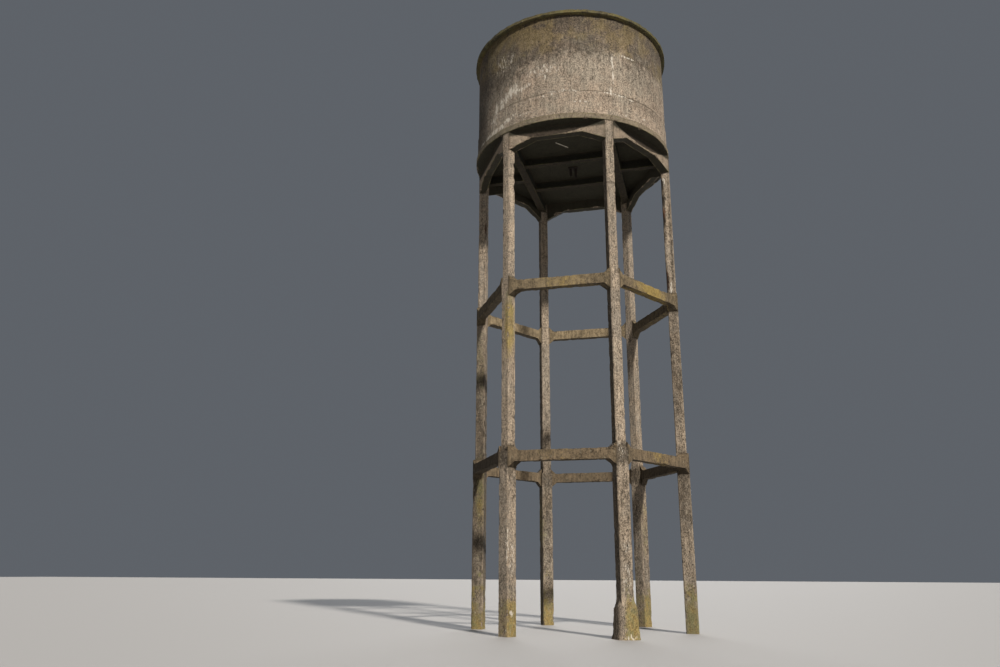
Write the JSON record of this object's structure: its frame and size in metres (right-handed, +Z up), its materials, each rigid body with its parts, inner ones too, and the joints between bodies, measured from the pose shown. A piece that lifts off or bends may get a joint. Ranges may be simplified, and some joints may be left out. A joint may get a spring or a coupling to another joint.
{
  "type": "water tower",
  "caption": "Concrete water tower: round tank with a flat overhanging roof on stepped columns tied by rings of haunched beams.",
  "frame": {"origin": "middle of the ring of columns, at the height of the lowest ground point", "axes": "+Z up the tower's axis; one column stands on +X; -Y faces the middle of the side between the two front columns"},
  "size_m": [6.59, 6.566, 18.655],
  "materials": {
    "column_concrete": "weathered board-marked concrete, pale brown with bare aggregate, lichen at the feet",
    "tie_concrete": "weathered concrete with orange and yellow lichen",
    "tank_beam_concrete": "weathered brown concrete with spalled edges",
    "floor_concrete": "sheltered grey concrete with board marks",
    "wall_concrete": "pitted brown concrete with streaks, white efflorescence and a dark algae band above",
    "roof_concrete": "weathered concrete slab with yellow-green lichen on its edge",
    "old_iron": "rusted iron"
  },
  "bodies": {
    "root": {"column_right": "column_concrete", "column_back_right": "column_concrete", "column_back_left": "column_concrete", "column_left": "column_concrete", "column_front_left": "column_concrete", "column_front_right": "column_concrete", "tie_low_right_back": "tie_concrete", "tie_low_back": "tie_concrete", "tie_low_left_back": "tie_concrete", "tie_low_left_front": "tie_concrete", "tie_low_front": "tie_concrete", "tie_low_right_front": "tie_concrete", "tie_high_right_back": "tie_concrete", "tie_high_back": "tie_concrete", "tie_high_left_back": "tie_concrete", "tie_high_left_front": "tie_concrete", "tie_high_front": "tie_concrete", "tie_high_right_front": "tie_concrete", "tank_beam_right_back": "tank_beam_concrete", "tank_beam_back": "tank_beam_concrete", "tank_beam_left_back": "tank_beam_concrete", "tank_beam_left_front": "tank_beam_concrete", "tank_beam_front": "tank_beam_concrete", "tank_beam_right_front": "tank_beam_concrete", "floor_beam_right": "floor_concrete", "floor_beam_left": "floor_concrete", "stub_beam_right": "floor_concrete", "stub_beam_left": "floor_concrete", "cross_beam_front": "floor_concrete", "cross_beam_back": "floor_concrete", "tank_floor": "floor_concrete", "tank_wall_right_back": "wall_concrete", "tank_wall_back": "wall_concrete", "tank_wall_left_back": "wall_concrete", "tank_wall_left_front": "wall_concrete", "tank_wall_front": "wall_concrete", "tank_wall_right_front": "wall_concrete", "tank_roof": "roof_concrete", "pipe_flange": "old_iron", "pipe_end_long": "old_iron", "pipe_end_short": "old_iron"}
  },
  "joints": []
}
